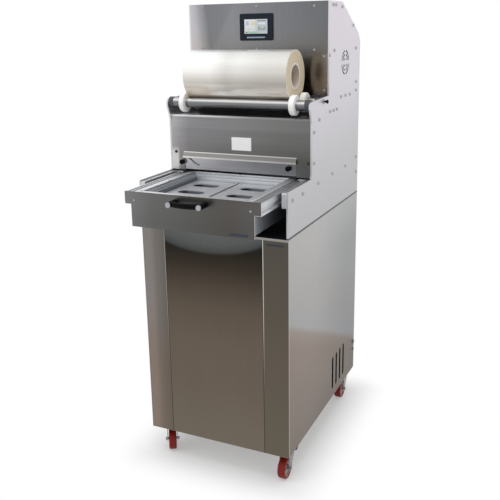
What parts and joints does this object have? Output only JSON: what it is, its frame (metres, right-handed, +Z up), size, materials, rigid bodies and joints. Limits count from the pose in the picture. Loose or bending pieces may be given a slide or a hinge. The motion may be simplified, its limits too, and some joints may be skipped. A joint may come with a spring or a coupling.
{
  "type": "tray sealer",
  "caption": "Floor standing tray sealer on braked castors: cabinet with a pull-out mould drawer, sealing head with a film roll on two rollers, and a display.",
  "frame": {"origin": "on the floor under the middle of the machine's overall box, with the drawer pulled out", "axes": "+X to the operator's right, +Y from the operator to the back, +Z up"},
  "size_m": [0.566, 0.949, 1.64],
  "materials": {
    "brushed_stainless": "fine brushed stainless sheet",
    "satin_stainless": "satin stainless plate",
    "head_stainless": "brushed stainless sheet",
    "black_deck": "black satin",
    "anodised": "milled and anodised",
    "insert_aluminium": "milled",
    "black_plastic": "moulded satin black",
    "bezel": "gloss black blue",
    "screen": "lit screen",
    "white_plastic": "white engineering plastic",
    "film": "clear film wound on itself",
    "board": "wound paper board",
    "polished_bar": "polished bar",
    "dark_steel": "dark grey",
    "zinc": "zinc plated pressing",
    "red_tread": "red polyurethane"
  },
  "bodies": {
    "machine": {"base_tray": "brushed_stainless", "front_panel": "brushed_stainless", "cabinet_back": "brushed_stainless", "deck": "black_deck", "deck_trim": "satin_stainless", "head_front_panel": "head_stainless", "roll_back_panel": "head_stainless", "head_cover": "satin_stainless", "rear_panel": "satin_stainless", "display_housing": "bezel", "display_screen": "screen", "sealing_cover": "head_stainless", "guard_plate": "satin_stainless", "guard_knobs": "black_plastic", "guard_lever": "zinc", "roller_bearings": "dark_steel", "castor_plates": "zinc", "cabinet_side_left": "brushed_stainless", "front_post_left": "brushed_stainless", "side_plate_left": "satin_stainless", "drawer_guide_left": "anodised", "cabinet_side_right": "brushed_stainless", "front_post_right": "brushed_stainless", "side_plate_right": "satin_stainless", "drawer_guide_right": "anodised"},
    "drawer": {"drawer_front": "brushed_stainless", "slide_rail_left": "anodised", "slide_rail_right": "anodised", "mould_frame": "anodised", "tray_insert_left": "insert_aluminium", "tray_insert_right": "insert_aluminium", "drawer_box": "anodised", "handle_grip": "black_plastic", "handle_caps": "anodised"},
    "film_package": {"film_roll": "film", "film_core": "board"},
    "front_roller": {"front_roller_bar": "polished_bar", "front_roller_collars": "white_plastic"},
    "rear_roller": {"rear_roller_bar": "polished_bar", "rear_roller_collars": "white_plastic"},
    "castor_swivel_front_left": {"castor_fork_front_left": "zinc", "brake_pedal_front_left": "dark_steel"},
    "castor_wheel_front_left": {"castor_hub_front_left": "anodised", "castor_tyre_front_left": "red_tread"},
    "castor_swivel_front_right": {"castor_fork_front_right": "zinc", "brake_pedal_front_right": "dark_steel"},
    "castor_wheel_front_right": {"castor_hub_front_right": "anodised", "castor_tyre_front_right": "red_tread"},
    "castor_swivel_rear_left": {"castor_fork_rear_left": "zinc"},
    "castor_wheel_rear_left": {"castor_hub_rear_left": "anodised", "castor_tyre_rear_left": "red_tread"},
    "castor_swivel_rear_right": {"castor_fork_rear_right": "zinc"},
    "castor_wheel_rear_right": {"castor_hub_rear_right": "anodised", "castor_tyre_rear_right": "red_tread"}
  },
  "joints": [
    {"name": "drawer_slide", "type": "slide", "parent": "machine", "child": "drawer", "axis": [0, 1, 0], "range_m": [0, 0.345]},
    {"name": "film_roll_spin", "type": "hinge", "parent": "machine", "child": "film_package", "pos_m": [0, -0.0165, 1.39324], "axis": [1, 0, 0], "continuous": true},
    {"name": "front_roller_spin", "type": "hinge", "parent": "machine", "child": "front_roller", "pos_m": [0, -0.0665, 1.3], "axis": [1, 0, 0], "continuous": true},
    {"name": "rear_roller_spin", "type": "hinge", "parent": "machine", "child": "rear_roller", "pos_m": [0, 0.0335, 1.3], "axis": [1, 0, 0], "continuous": true},
    {"name": "castor_swivel_front_left_turn", "type": "hinge", "parent": "machine", "child": "castor_swivel_front_left", "pos_m": [-0.24, -0.2095, 0.1], "axis": [0, 0, 1], "continuous": true},
    {"name": "castor_wheel_front_left_spin", "type": "hinge", "parent": "castor_swivel_front_left", "child": "castor_wheel_front_left", "pos_m": [-0.22352, -0.23693, 0.04], "axis": [0.8572, 0.515, 0], "continuous": true},
    {"name": "castor_swivel_front_right_turn", "type": "hinge", "parent": "machine", "child": "castor_swivel_front_right", "pos_m": [0.24, -0.2095, 0.1], "axis": [0, 0, 1], "continuous": true},
    {"name": "castor_wheel_front_right_spin", "type": "hinge", "parent": "castor_swivel_front_right", "child": "castor_wheel_front_right", "pos_m": [0.24, -0.2415, 0.04], "axis": [1, 0, 0], "continuous": true},
    {"name": "castor_swivel_rear_left_turn", "type": "hinge", "parent": "machine", "child": "castor_swivel_rear_left", "pos_m": [-0.24, 0.4245, 0.1], "axis": [0, 0, 1], "continuous": true},
    {"name": "castor_wheel_rear_left_spin", "type": "hinge", "parent": "castor_swivel_rear_left", "child": "castor_wheel_rear_left", "pos_m": [-0.24, 0.3925, 0.04], "axis": [1, 0, 0], "continuous": true},
    {"name": "castor_swivel_rear_right_turn", "type": "hinge", "parent": "machine", "child": "castor_swivel_rear_right", "pos_m": [0.24, 0.4245, 0.1], "axis": [0, 0, 1], "continuous": true},
    {"name": "castor_wheel_rear_right_spin", "type": "hinge", "parent": "castor_swivel_rear_right", "child": "castor_wheel_rear_right", "pos_m": [0.24, 0.3925, 0.04], "axis": [1, 0, 0], "continuous": true}
  ],
  "couplings": [
    {"joint": "front_roller_spin", "follows": "film_roll_spin", "ratio": -5.0286},
    {"joint": "rear_roller_spin", "follows": "film_roll_spin", "ratio": -5.0286}
  ]
}
